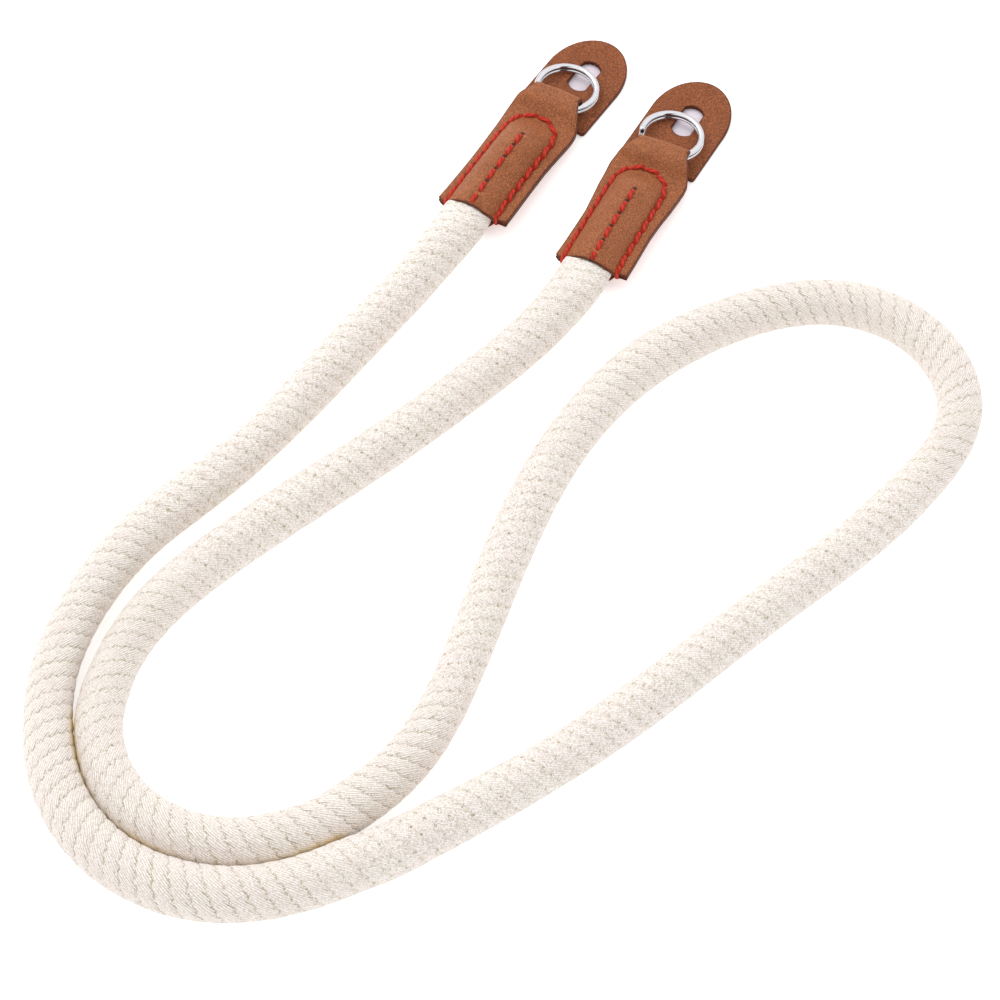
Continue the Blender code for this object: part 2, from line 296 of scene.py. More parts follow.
# A bundle's number goes up by these per rib and per bundle, to come out the same once round.
RIB_NUMBER, BUNDLE_NUMBER = ROUND // 2, RIBS_ON // 2
KINK = 0.06  # how far a rib's edge swings to either side, in ribs
CROWN = 0.317  # how far a bundle's edge lies from its middle, in bundles
STAGGER = 0.415  # how far the bundles of the next rib are shifted, in bundles
SLANT = 36.0  # degrees from the rope's run to a bundle's
BUNDLE_HALF = (2.05, 1.0)
BUNDLE_FOOT = 2.15  # where its round top ends, in squares of its half sizes
BRAID_PROUD = 0.08  # how far the bundles stand above the rope's thickness
SLACK = 0.09  # how much lower the slackest one lies
SLACK_SEED, SLACK_CHANCES = 11, 5000
DEEP_STRAIGHT, DEEP_BENT = 0.15, 0.29  # depth of the hollows between ribs
SPLIT = 5  # squares of the mesh along each side of a bundle
ACROSS_RIB = (0.0, 0.14, 0.36, 0.64, 0.86)  # where these squares start
ALONG_RIB = (-CROWN, -0.106, 0.106, CROWN, 0.5)
# Painted golden bounce light and shade where two runs touch: from which cosine of its place
# round the rope and from which push, and over how much more that comes in.
BOUNCE_ROUND, BOUNCE_PUSHED = (0.86, 0.1), (0.42, 0.15)
SHEET_LONG, SHEETS = 187.0, 5  # the strips that the skin is laid out in
SHEET_SPARE = 2.0  # room between them

YARN = 0.5  # from one yarn of a bundle to the next
UNDER_WAY = (0.951, 0.309)  # across the yarns that show between the bundles
COTTON, ROSY, IVORY = (0.98, 0.93, 0.885), (0.98, 0.905, 0.88), (0.97, 0.94, 0.88)
# Painted shade in the gaps between yarns.
YARN_GAP_SHADE = (0.62, 0.52, 0.43)
HUSK = (0.58, 0.48, 0.38)
# Painted shade in the valleys between bundles.
VALLEY_SHADE = (0.75, 0.64, 0.46)
PIT = (0.40, 0.31, 0.18)
STROKE = (0.36, 0.28, 0.16)
# Painted shade in the gaps between ribs in a bend.
RIB_GAP_SHADE = (0.36, 0.28, 0.17)
# Painted golden bounce light and shade where two runs touch.
PAINTED_BOUNCE = (0.74, 0.57, 0.27)


def direction(degrees):
    """One millimetre that way on the table."""
    return np.array([math.cos(math.radians(degrees)), math.sin(math.radians(degrees))])


def table(rows, at):
    """The other columns of a table at values of its first one."""
    rows = np.array(sorted(rows))
    return [np.interp(at, rows[:, 0], column) for column in rows[:, 1:].T]


def rising(values, start, over):
    """From 0 at start to 1 so much further on."""
    return np.clip((values - start) / over, 0, 1)


def falling(values, over):
    """From 1 at 0 to 0 so much further on."""
    return np.clip(1 - values / over, 0, 1)


def softened(values, window):
    """Values along a line, each evened out with its neighbours."""
    weights = np.hanning(window) / np.hanning(window).sum()
    return np.convolve(np.pad(values, window // 2, "edge"), weights, "valid")


def distance_along(points):
    """How far along a line each of its points is."""
    return np.concatenate([[0], np.cumsum(np.linalg.norm(np.diff(points, axis=0), axis=1))])


def smooth_line(points, start, stop):
    """A cubic spline through the points that leaves and arrives in given directions."""
    knots = np.array(points, float)
    spans = np.linalg.norm(np.diff(knots, axis=0), axis=1)
    count = len(knots)
    system = np.eye(count)
    target = np.zeros_like(knots)
    target[0] = start
    target[-1] = stop
    for i in range(1, count - 1):
        before, after = spans[i - 1], spans[i]
        system[i, i - 1:i + 2] = after, 2 * (before + after), before
        target[i] = 3 * (after / before * (knots[i] - knots[i - 1])
                         + before / after * (knots[i + 1] - knots[i]))
    slopes = np.linalg.solve(system, target)
    pieces = []
    for i, span in enumerate(spans):
        u = np.arange(0, 1, LINE_STEP / span)[:, None]
        pieces.append((2 * u**3 - 3 * u**2 + 1) * knots[i]
                      + (u**3 - 2 * u**2 + u) * span * slopes[i]
                      + (3 * u**2 - 2 * u**3) * knots[i + 1]
                      + (u**3 - u**2) * span * slopes[i + 1])
    pieces.append(knots[-1:])
    return np.vstack(pieces)


def new_piece(name, mesh, material, slot, *nodes):
    """A finished piece that rides with the strap and stands for its plain solids."""
    mesh.materials.append(material)
    made = bpy.data.objects.new(name, mesh)
    bpy.context.scene.collection.objects.link(made)
    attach(made, "root")
    if nodes:
        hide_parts(*nodes)
    return made


line = smooth_line(ROUTE, -direction(HEADING["left"]), direction(HEADING["right"]))
inside = np.arange(ROPE_IN, 0, -LINE_STEP)[:, None]
line = np.vstack([np.array(MOUTH["left"]) + direction(HEADING["left"]) * inside, line,
                  np.array(MOUTH["right"]) + direction(HEADING["right"]) * inside[::-1]])
run = distance_along(line)
rope_long = run[-1]
even = np.arange(0, rope_long, LINE_STEP)
middle = np.stack([np.interp(even, run, axis) for axis in line.T], axis=1)
ahead = np.gradient(middle, LINE_STEP, axis=0)
ahead /= np.linalg.norm(ahead, axis=1)[:, None]
heading = np.unwrap(np.arctan2(ahead[:, 1], ahead[:, 0]))
bend = np.abs(softened(np.gradient(heading, LINE_STEP), BEND_EVEN))
ribbed = rising(bend, RIB_FROM, RIB_OVER)
full = softened(np.interp(even - ROPE_IN, *np.transpose(FULLNESS)), FULL_EVEN)

# Where two runs of the rope lie side by side they are pushed together: half the gap to the
# other run, and on which side it lies.
apart = np.linalg.norm(middle[:, None] - middle[None], axis=2)
apart[np.abs(even[:, None] - even[None]) < SAME_RUN] = np.inf
nearest = apart.argmin(axis=1)
half_gap = (apart.min(axis=1) - ROPE_R * (full + full[nearest])) / 2
toward = middle[nearest] - middle
other = np.sign(toward[:, 0] * np.sin(heading) - toward[:, 1] * np.cos(heading))
pushed = softened(other * np.clip(half_gap + SQUEEZE, 0, CLOSE)
                  * np.interp(half_gap, [CLOSE, CLEAR], [1.0, 0.0]), PUSH_EVEN)


def on_middle(at):
    """Points of the rope's middle line, by the distance along it."""
    return np.stack([np.interp(at, even, axis) for axis in middle.T], axis=1)


def rope_points(along, turn, sunk):
    """Points on the rope: along it, round it from its right side up, and pressed in."""
    at = np.clip(along, 0, even[-1])
    way = np.interp(at, even, heading)
    right = np.stack([np.sin(way), -np.cos(way)], axis=1)
    out = np.minimum(along - ROPE_IN, rope_long - ROPE_IN - along)
    bottom, top, half = table(PRESSED, out)
    fullness = np.interp(at, even, full)
    size = fullness + (BRAID_PROUD - sunk) / ROPE_R
    lean = LEAN * falling(np.abs(out), LEAN_LONG) * np.sign(rope_long / 2 - along)
    flat = on_middle(at) + right * (half * size * np.cos(turn) + lean
                                    + np.interp(at, even, pushed))[:, None]
    height = bottom + (top - bottom) / 2 * (fullness + size * np.sin(turn))
    return np.column_stack([flat, height])


def bundle_spot(u, v, floor, least):
    """Of rib u and bundle v: the rib's and the bundle's numbers, the way to the hollow
    between two ribs, and the place along and across the bundle, in mm."""
    rise = v + CROWN - floor(v + CROWN)
    kinked = (u + (0.5 + KINK)
              - least(rise / (2 * CROWN), (1 - rise) / (1 - 2 * CROWN)) * (2 * KINK))
    rib = floor(kinked)
    share = kinked - rib
    bundle = floor(v - (u - rib) * STAGGER + 0.5)
    du, dv = u - rib, v - bundle
    (along_u, round_u), (along_v, round_v) = NEXT_RIB, NEXT_BUNDLE
    way = direction(SLANT)
    return (rib, bundle, least(share, 1 - share) * RIB_WIDE,
            du * float(along_u * way[0] + round_u * way[1])
            + dv * float(along_v * way[0] + round_v * way[1]),
            du * float(round_u * way[0] - along_u * way[1])
            + dv * float(round_v * way[0] - along_v * way[1]))


def point_values(mesh, name, numbers):
    """A number for each point of a mesh, which its material reads."""
    layer = mesh.attributes.new(name, "FLOAT", "POINT")
    layer.data.foreach_set("value", np.asarray(numbers, np.float32).ravel())


def mended(mesh, mend):
    """A mesh with smooth faces, after one step of work on it."""
    opened = bmesh.new()
    opened.from_mesh(mesh)
    mend(opened)
    opened.to_mesh(mesh)
    opened.free()
    mesh.shade_smooth()
    return mesh


def corner_map(mesh, name, spots):
    """A flat map of a mesh, from the spots of its squares' four corners."""
    layer = mesh.uv_layers.new(name=name)
    layer.data.foreach_set("uv", spots.transpose(1, 0, 2).ravel())


def braid_squares():
    """The four corners of every square of the skin: their ribs and bundles, how far they
    are along and round the rope, and the numbers of the points that they share."""
    a, b = np.meshgrid(np.arange(-RIBS_BEFORE * SPLIT, int(rope_long / NEXT_RIB[0] + 2) * SPLIT),
                       np.arange(ROUND * SPLIT), indexing="ij")
    a, b = a.ravel(), b.ravel()
    corners = np.stack([(a, b), (a, b + 1), (a + 1, b + 1), (a + 1, b)])
    a, b = corners[:, 0], corners[:, 1]
    v = b // SPLIT + np.array(ALONG_RIB)[b % SPLIT]
    kink = np.interp(v % 1, [0, CROWN, 1 - CROWN, 1], [0.5, 0.5 + KINK, 0.5 - KINK, 0.5])
    u = a // SPLIT + kink + np.array(ACROSS_RIB)[a % SPLIT]
    along = u * NEXT_RIB[0] + v * NEXT_BUNDLE[0]
    used = ~((along <= 0).all(0) | (along >= rope_long).all(0))
    a, b, u, v, along = (values[:, used] for values in (a, b, u, v, along))
    around = u * NEXT_RIB[1] + v * NEXT_BUNDLE[1]
    once_round = ROUND * SPLIT
    shared = (a + RIBS_ON * SPLIT * (b // once_round)) * once_round + b % once_round
    return u, v, along, around, shared


def make_rope():
    """The braided skin, pressed flat at its ends and closed there."""
    u, v, along, around, shared = braid_squares()
    _, pick, faces = np.unique(shared.ravel(), return_index=True, return_inverse=True)
    at, turn = along.ravel()[pick], np.pi - around.ravel()[pick] / ROPE_R
    open_ribs = np.interp(at, even, ribbed)
    rib, bundle, _, x, w = bundle_spot(u.ravel()[pick], v.ravel()[pick], np.floor, np.minimum)
    far = (x / BUNDLE_HALF[0]) ** 2 + (w / BUNDLE_HALF[1]) ** 2
    dome = np.sqrt(np.clip(1 - far / BUNDLE_FOOT, 0, 1))
    chance = np.random.default_rng(SLACK_SEED).random(SLACK_CHANCES)
    slack = chance[((RIB_NUMBER * rib + BUNDLE_NUMBER * bundle) % len(chance)).astype(int)]
    deep = DEEP_STRAIGHT + (DEEP_BENT - DEEP_STRAIGHT) * open_ribs
    sunk = deep * (1 - dome) + SLACK * slack * dome
    points = rope_points(np.clip(at, 0, rope_long), turn, sunk)
    mesh = bpy.data.meshes.new("rope_braid")
    mesh.from_pydata(points * MM, [], faces.reshape(shared.shape).T.tolist())

    corner_map(mesh, "braid", np.stack([u, v], axis=-1))
    point_values(mesh, "ribbed", open_ribs)
    # Where two runs touch, for the painted golden bounce light and shade.
    aside = np.interp(at, even, pushed)
    point_values(mesh, "touching", rising(np.cos(turn) * np.sign(aside), *BOUNCE_ROUND)
                 * rising(np.abs(aside), *BOUNCE_PUSHED))
    # A second map lays the skin out flat, in strips side by side.
    strip = np.floor(along.mean(0) / SHEET_LONG)
    round_mm = np.pi * ROPE_D
    level = around - round_mm * np.floor(around.mean(0) / round_mm)
    corner_map(mesh, "OFBake", np.stack([
        (along - strip * SHEET_LONG + SHEET_SPARE) / (SHEET_LONG + 2 * SHEET_SPARE),
        (level + SHEET_SPARE / 2 + strip * (round_mm + SHEET_SPARE))
        / (SHEETS * (round_mm + SHEET_SPARE))], -1))

    return mended(mesh, lambda opened: bmesh.ops.holes_fill(
        opened, edges=[edge for edge in opened.edges if edge.is_boundary], sides=0))


def bumps(shade, height_mm):
    """A surface that stands out by a height given in millimetres."""
    return shade.node("Bump", None, {"Strength": 1.0, "Distance": MM, "Height": height_mm})


def cream_cotton(shade):
    """Cream yarns with flecks of husk, painted shade in the hollows and wherever a bundle dips
    under another, and painted golden bounce light where two runs touch.
    """
    spot = shade.node("UVMap", {"uv_map": "braid"})
    u = shade.node("SeparateXYZ", None, {0: spot}, output=0)
    v = shade.node("SeparateXYZ", None, {0: spot}, output=1)
    rib, bundle, hollow, x, w = bundle_spot(u, v, Shade.floor, Shade.least)
    far = x * x / BUNDLE_HALF[0] ** 2 + w * w / BUNDLE_HALF[1] ** 2
    bent = shade.attribute("ribbed")
    place = shade.millimetres()
    fuzz = shade.noise(place, 3.5, 2.0, 0.6)
    drift = shade.noise(place, 0.9, 1.0)
    speck = shade.noise(place, 2.2, 2.0, 0.65)
    tint = shade.node("TexWhiteNoise", {"noise_dimensions": "1D"},
                      {"W": rib * RIB_NUMBER + bundle * BUNDLE_NUMBER}, output=0)

    def yarns(across):
        """From 0 between two yarns to 1 on top of one."""
        wave = (across / YARN + drift * 0.6 + fuzz * 0.4) * math.tau
        return shade.maths("SINE", wave) * 0.5 + 0.5

    # The yarns lie along a bundle, and under it across, where they are less tidy.
    over = yarns(w)
    under = yarns(x * UNDER_WAY[0] + w * UNDER_WAY[1])
    below = far.between(0.85, 1.25) * (1 - bent * 0.7)
    yarn = over + (under - over) * below
    patch = shade.noise(place, 0.09, 2.0)
    clean = shade.mix(patch.between(0.35, 0.65), COTTON, ROSY)
    clean = shade.mix(tint * 0.4, clean, IVORY)
    # Painted shade in the gaps between the yarns, stronger in the bends.
    gap = (1 - yarn.between(0.08, 0.55)) * (bent * 0.35 + 0.40)
    lined = shade.mix(gap, clean, YARN_GAP_SHADE)
    lined = shade.mix(speck.between(0.54, 0.40) * (0.62 - bent * 0.2), lined, HUSK)
    # Painted shade in the valleys between the bundles, patchy.
    valley = far.between(0.9, 2.1)
    low = shade.mix(valley * drift.between(0.3, 0.65) * 0.35, lined, VALLEY_SHADE)

    # The shadow where a bundle dips under, at its lower end and along its lower side. Stray
    # fibres break it up.
    strand = speck.between(0.62, 0.42) * (tint * 0.7 + 0.3)
    at_end = abs(x) - 2.4
    beside = w * shade.maths("SIGN", x) + 0.45
    pit = 1 - (at_end * at_end * 4.5 + beside * beside * 10.0 + fuzz).between(0.7, 1.7)
    low = shade.mix(pit * strand * (1 - bent * 0.5), low, PIT)
    stroke = ((1 - abs(w + 0.93).between(0.03, 0.2))
              * x.between(-0.7, 0.6) * x.between(2.6, 1.9))
    low = shade.mix(stroke * strand * (bent * 0.6 + 0.25), low, STROKE)

    # The ribs open in a bend, with painted shade in the gaps between them, and where two runs
    # touch the cotton between them gets a painted golden bounce light and shade.
    rib_shade = (1 - hollow.between(0.03, 0.24)) * bent * strand
    dark = shade.mix(rib_shade * 0.65, low, RIB_GAP_SHADE)
    # Painted golden bounce light and shade where two runs touch.
    dark = shade.mix(shade.attribute("touching") * drift.between(0.2, 0.5), dark, PAINTED_BOUNCE)
    height = (1 - valley) * 0.09 + yarn * 0.08 + speck * 0.12 - pit * 0.1 - stroke * 0.08
    return {"Base Color": dark, "Normal": bumps(shade, height)}


cotton = finish("cream_cotton", {"Roughness": 0.95, "Specular IOR Level": 0.15,
                                 "Sheen Weight": 0.25, "Sheen Roughness": 0.6}, cream_cotton)
rope = new_piece("cotton_rope", make_rope(), cotton, "cotton_rope", "rope")


# ================================================================ the split rings
# Each ring is two turns of flattened steel wire with square cut ends, nickel-plated. The
# upper turn slopes down past its own end to become the lower one.

SIDES = ("left", "right")
RING_R = 7.05  # to the middle of the wire
RING_ALONG = 42.9  # from the leather's mouth to the ring's middle
RING_Z = 3.15
RING_TILT = 6.6  # degrees down from the fold to the guard
RING_END = {"left": 250.0, "right": 197.0}  # degrees round the ring to the wire's ends
WIRE_WIDE, WIRE_HIGH = 1.4, 0.75
WIRE_DOME = 0.48  # height of the rounded upper part of its section
WIRE_BOX = 0.9  # the power that makes its sides flatter than round ones
WIRE_LOW = 0.1  # how much lower it lies than the middle of its turn
WIRE_SIDES, RING_STEPS = 24, 140
END_SMALL, END_GROWS = 0.86, 44  # its size at a cut end, and by how much it grows per turn
COIL_PITCH = 0.78
LOWER_ASIDE = (0.16, -0.24)  # how far the lower turn lies to the side of the upper one
CROSSING = 0.11  # share of a turn in which the wire drops to the lower turn
GROOVE_FADE = 60  # its painted shade fades in from one to two such parts of a turn from an end
NICKEL = ((0.60, 0.595, 0.62), (0.72, 0.715, 0.75))
# Painted shade in the groove where the two turns touch.
GROOVE_SHADE = (0.04, 0.04, 0.06)


def skin(rows):
    """A closed skin through rows of points, with flat ends of quads."""
    count, sides = rows.shape[:2]
    at = np.arange(count * sides).reshape(count, sides)
    beside = np.roll(at, -1, axis=1)
    walls = np.stack([at[:-1], beside[:-1], beside[1:], at[1:]], axis=-1).reshape(-1, 4)
    half = np.arange(sides // 2 - 1)
    ends = [at[end][np.stack([half, half + 1, sides - 2 - half, sides - 1 - half], -1)]
            for end in (0, -1)]
    return rows.reshape(-1, 3), np.vstack([walls, *ends])


def joined_mesh(name, skins, **values):
    """One mesh of several skins, facing outwards, with values for the materials."""
    first = np.cumsum([0] + [len(points) for points, _ in skins])
    faces = np.vstack([quads + start for (_, quads), start in zip(skins, first)])
    mesh = bpy.data.meshes.new(name)
    mesh.from_pydata(np.vstack([points for points, _ in skins]) * MM, [], faces.tolist())
    for value, numbers in values.items():
        point_values(mesh, value, numbers)
    return mended(mesh, lambda opened: bmesh.ops.recalc_face_normals(
        opened, faces=opened.faces))


def turned(first, second, degrees):
    """Two coordinates turned together round the third axis."""
    way = direction(degrees)
    return first * way[0] - second * way[1], first * way[1] + second * way[0]


def seated(points, side, along=0.0, z=0.0, yaw=0.0):
    """Points drawn along +Y with the mouth at the origin, put on a leather end."""
    x, y, height = np.moveaxis(points, -1, 0)
    x, y = turned(x, y, HEADING[side] - 90.0 + yaw)
    spot = np.array(MOUTH[side]) + direction(HEADING[side]) * along
    return np.stack([spot[0] + x, spot[1] + y, height + z], axis=-1)


def make_ring(side):
    """One wire wound round twice, its lower turn a little out of line with the upper one."""
    turns = np.linspace(0, 2 - CROSSING, round((2 - CROSSING) * RING_STEPS))[:, None]
    to_end = np.minimum(turns, 2 - CROSSING - turns)
    sunk = np.clip((turns - 1 + CROSSING) / CROSSING, 0, 1)
    angle = math.radians(RING_END[side]) - math.tau * turns
    round_wire = np.linspace(0, math.tau, WIRE_SIDES, endpoint=False) + math.pi / WIRE_SIDES
    out = np.sign(np.cos(round_wire)) * np.abs(np.cos(round_wire)) ** WIRE_BOX
    up = np.sin(round_wire)
    thick = np.where(up > 0, WIRE_DOME, WIRE_HIGH - WIRE_DOME) * up
    small = np.minimum(1, END_SMALL + to_end * END_GROWS)
    reach = RING_R + WIRE_WIDE / 2 * out * small
    height = COIL_PITCH * (0.5 - sunk**2 * (3 - 2 * sunk)) + thick * small - WIRE_LOW
    x = reach * np.cos(angle) + LOWER_ASIDE[0] * sunk
    y = reach * np.sin(angle) + LOWER_ASIDE[1] * sunk
    y, height = turned(y, height, -RING_TILT)
    rows = seated(np.stack([x, y, height], axis=-1), side, along=RING_ALONG, z=RING_Z)
    # The two turns face each other with the upper one's underside and the lower one's top, which
    # get painted shade.
    facing_groove = up * (2 * sunk - 1) * np.clip(to_end * GROOVE_FADE - 1, 0, 1)
    return joined_mesh("split_ring_" + side, [skin(rows)], groove=facing_groove)


def bright_plate(shade):
    """Bright nickel, with painted shade in the groove between the two turns of wire."""
    groove = shade.attribute("groove").between(0.62, 0.92)
    cloud = shade.noise(shade.millimetres(), 0.5, 3.0)
    fine = shade.noise(shade.millimetres(), 3.0, 2.0)
    return {"Base Color": shade.mix(groove, shade.mix(cloud, *NICKEL), GROOVE_SHADE),
            "Roughness": cloud * 0.04 + fine * 0.03 + 0.05}


steel = finish("bright_plate", {"Metallic": 1.0}, bright_plate)
for side in SIDES:
    new_piece("ring_wire_" + side, make_ring(side), steel, "ring_steel", "split_ring_" + side)


# ================================================================ the ring guards
# A flat tab of leather lies under each ring and keeps it off the camera. It is cut with a
# round end and a slot, and its narrow tail is sewn flat under the leather end.

LEATHER = 1.2  # thickness of every piece of leather
EDGE_R = 0.3
EDGE_IN = (0.0, 0.02, 0.07, 0.16, 0.3)  # places across the rounding of a cut edge
GUARD_ALONG = {"left": 34.7, "right": 35.1}  # from the mouth to the square shoulders
GUARD_YAW = -3.5
GUARD_HALF = 9.6
GUARD_LONG = {"left": 26.8, "right": 27.6}
GUARD_TIP = 12.5  # length of the round end
GUARD_LOW, GUARD_TOP = 0.01, LEATHER - 0.06  # heights of its two faces
GUARD_WAVE = 0.05  # how far its upper face swells and dips
CORNER_R = 0.8
TAIL_HALF, TAIL_LONG = 4.5, 5.8
SLOT_HALF, SLOT_FROM, SLOT_TO, SLOT_ARC = 2.45, 10.3, 19.6, 1.3
CORNER_STEPS, TIP_STEPS, SLOT_STEPS = 5, 60, 16
OUTLINE_GAP, SLOT_GAP = 0.5, 0.15  # most from one point of them to the next
BETWEEN_EDGES = 12  # rings of the mesh between the outline and the slot
GUARD_TAN = ((0.30, 0.094, 0.036), (0.25, 0.076, 0.029))
DARK_GRAIN, LIGHT_GRAIN = 0.5, 1.65  # the sandy grain, as shares of the leather's colours
BURNT = (0.085, 0.018, 0.008)


def arc(centre, radii, start, stop, steps):
    """Points on an ellipse's arc, in degrees."""
    turns = np.radians(np.linspace(start, stop, steps + 1))
    return np.column_stack([centre[0] + radii[0] * np.cos(turns),
                            centre[1] + radii[1] * np.sin(turns)])


def evenly(points, step):
    """More points on the sides of a closed outline, at most a step apart."""
    finer = []
    for here, there in zip(points, np.roll(points, -1, axis=0)):
        parts = max(1, math.ceil(np.linalg.norm(there - here) / step))
        finer.append(here + (there - here) * (np.arange(parts) / parts)[:, None])
    return np.vstack(finer)


def edge_fall(depth):
    """How far a face falls off at a rounded cut edge, so far in from that edge."""
    left = np.clip(EDGE_R - depth, 0, EDGE_R)
    return EDGE_R - np.sqrt(EDGE_R**2 - left**2)


def guard_outline(side):
    """Round the tail, the square shoulders and the round end."""
    shoulder = GUARD_HALF - CORNER_R
    tip_from = GUARD_LONG[side] - GUARD_TIP
    return evenly(np.vstack([
        [(-TAIL_HALF, -TAIL_LONG), (TAIL_HALF, -TAIL_LONG), (TAIL_HALF, 0.0)],
        arc((shoulder, CORNER_R), (CORNER_R, CORNER_R), -90, 0, CORNER_STEPS),
        arc((0.0, tip_from), (GUARD_HALF, GUARD_TIP), 0, 180, TIP_STEPS),
        arc((-shoulder, CORNER_R), (CORNER_R, CORNER_R), 180, 270, CORNER_STEPS),
        [(-TAIL_HALF, 0.0)]]), OUTLINE_GAP)


def guard_slot():
    """Round the slot, whose two ends are shallow arcs."""
    radius = (SLOT_HALF**2 + SLOT_ARC**2) / (2 * SLOT_ARC)
    half = math.degrees(math.asin(SLOT_HALF / radius))
    return evenly(np.vstack([
        arc((0.0, SLOT_TO - radius), (radius, radius), 90 - half, 90 + half, SLOT_STEPS),
        arc((0.0, SLOT_FROM + radius), (radius, radius), 270 - half, 270 + half, SLOT_STEPS)]),
        SLOT_GAP)


def make_guard(side):
    """The tab, with a mesh that runs straight from its outline to its slot."""
    outline, slot = guard_outline(side), guard_slot()
    middle_of_slot = np.array([0.0, (SLOT_FROM + SLOT_TO) / 2])
    bearing = np.arctan2(*(slot - middle_of_slot).T[::-1])
    order = np.argsort(bearing)
    toward = np.arctan2(*(outline - middle_of_slot).T[::-1])
    hole = np.column_stack([np.interp(toward, bearing[order], axis, period=math.tau)
                            for axis in slot[order].T])
    length = np.linalg.norm(outline - hole, axis=1)[:, None]
    shares = [place / length for place in EDGE_IN]
    shares += [(EDGE_R + (length - 2 * EDGE_R) * part) / length
               for part in np.linspace(0, 1, BETWEEN_EDGES)[1:-1]]
    shares += [1 - place / length for place in reversed(EDGE_IN)]
    rows = np.array([outline + (hole - outline) * share for share in shares])
    depths = np.array([(np.minimum(share, 1 - share) * length)[:, 0] for share in shares])
    wave = GUARD_WAVE * np.sin(rows[..., 0] * 0.35 + 1) * np.sin(rows[..., 1] * 0.27)
    upper = GUARD_TOP + wave - edge_fall(depths)
    lower = GUARD_LOW + edge_fall(depths)
    closed = seated(np.concatenate([np.dstack([rows, upper]), np.dstack([rows, lower])[::-1]]),
                    side, along=GUARD_ALONG[side], yaw=GUARD_YAW)
    at = np.arange(closed.shape[0] * closed.shape[1]).reshape(closed.shape[:2])
    beside, inward = np.roll(at, -1, axis=1), np.roll(at, -1, axis=0)
    faces = np.stack([at, beside, np.roll(beside, -1, axis=0), inward], -1).reshape(-1, 4)
    return joined_mesh("ring_guard_" + side, [(closed.reshape(-1, 3), faces)],
                       edge=np.vstack([depths, depths[::-1]]))


def leather(shade, light, dark):
    """Brushed tan leather: a sandy grain, small clouds, and dark burnished cut edges."""
    place = shade.millimetres()
    cloud = shade.noise(place, 0.16, 3.0, 0.6)
    sand = shade.noise(place, 3.2, 3.0, 0.7)
    tan = shade.mix(cloud.between(0.3, 0.7), light, dark)
    tan = shade.mix(sand.between(0.53, 0.40) * 0.7, tan, tuple(c * DARK_GRAIN for c in dark))
    tan = shade.mix(sand.between(0.50, 0.64) * 0.62, tan,
                    tuple(c * LIGHT_GRAIN for c in light))
    burnt = 1 - (shade.attribute("edge") + sand * 0.3).between(0.25, 0.65)
    return {"Base Color": shade.mix(burnt * 0.88, tan, BURNT),
            "Roughness": sand * 0.2 + 0.42,
            "Normal": bumps(shade, sand * 0.16 + cloud * 0.15)}


def guard_tan(shade):
    return leather(shade, *GUARD_TAN)


guard_leather = finish("guard_tan", {"Specular IOR Level": 0.15}, guard_tan)
for side in SIDES:
    new_piece("guard_tab_" + side, make_guard(side), guard_leather, "guard_leather",
              "ring_guard_" + side)


# ================================================================ the leather ends
# One strip of tan leather each, folded in half round the split ring. Its two layers are
# closed over the rope's end and the guard's tail, and sewn together beside the rope.

# Half of the folded strip, with its width to the left and to the right of the rope. The
# layers meet at seam_z, rise and drop round the rope, and the upper one lifts to the ring.
STRIP = [
    # along, left, right, seam_z, rise, drop, lift
    (0.0, 8.5, 8.9, 4.4, 3.6, 3.05, 0.0),
    (3.0, 8.25, 9.0, 4.4, 3.6, 3.05, 0.0),
    (8.0, 8.05, 8.95, 4.3, 3.65, 2.95, 0.0),
    (13.0, 8.0, 8.9, 4.1, 3.75, 2.75, 0.0),
    (18.0, 8.1, 8.85, 3.8, 3.75, 2.45, 0.0),
    (22.0, 8.25, 9.0, 3.5, 3.6, 2.15, 0.0),
    (25.0, 8.4, 9.15, 3.2, 2.7, 1.4, 0.0),
    (27.5, 8.6, 9.25, 2.95, 1.3, 0.3, 0.0),
    (29.5, 8.75, 9.3, 2.85, 0.4, 0.0, 0.0),
    (31.5, 8.75, 9.15, 2.85, 0.0, 0.0, 0.1),
    (33.0, 8.5, 8.65, 2.85, 0.0, 0.0, 0.9),
    (34.5, 8.1, 7.9, 2.85, 0.0, 0.0, 2.05),
    (36.0, 7.5, 7.05, 2.85, 0.0, 0.0, 2.35),
    (37.4, 6.95, 6.3, 2.85, 0.0, 0.0, 2.2),
    (38.7, 6.5, 5.7, 2.85, 0.0, 0.0, 1.9),
]
STRIP_LONG = STRIP[-1][0]
STRIP_EVEN = 21  # tenths of a millimetre over which these are evened out
FLARE = {"left": 0.0, "right": 0.6}  # how much wider one strip is beyond the rope's end
FLARE_AT = (13.0, 22.0, 30.0)  # where that starts, and where it is in full
FLARE_GONE = 36.0  # where it ends on the left
FOLD_SPARE = 0.2  # how much wider the strip's right side is just before the fold
LAYER_GAP = 0.15
PAD = 0.13  # the glue between the layers, shown as part of their thickness
STEEPEST = 1.5  # how many times thicker a steep wall may look from above
BULGE_HALF = 5.95  # where the bulge over the rope ends, just inside the stitches
BULGE_POWER = 0.7
ROUND_UNDER = 0.3  # how much a cut edge is rounded on its inner side, against its outer
THIN_EDGE = {"upper": 0.45, "lower": 0.8}  # how much the layers are skived at the edge
SKIVED_WIDE = 2.2
MOUTH_THIN, MOUTH_LONG = 0.5, 3.0  # how much they are thinned at the mouth, and how far in

BEND_R = 1.1  # inside radius of the fold
BEND_STEPS = 16
BEND_HALF = {"left": (6.3, 5.5), "right": (6.3, 6.5)}  # the fold, to either hand
FOLD_SLOPE, SLOPE_HALF = 0.8, 6.0  # how much shorter the strip is at the fold's left end
SLOPE_AT, SHORT_AT = (29.0, 9.0), (24.0, 10.0)  # where it gets shorter, and over how much
SHORT = {"left": 0.0, "right": 1.2}  # how much sooner one strip is folded
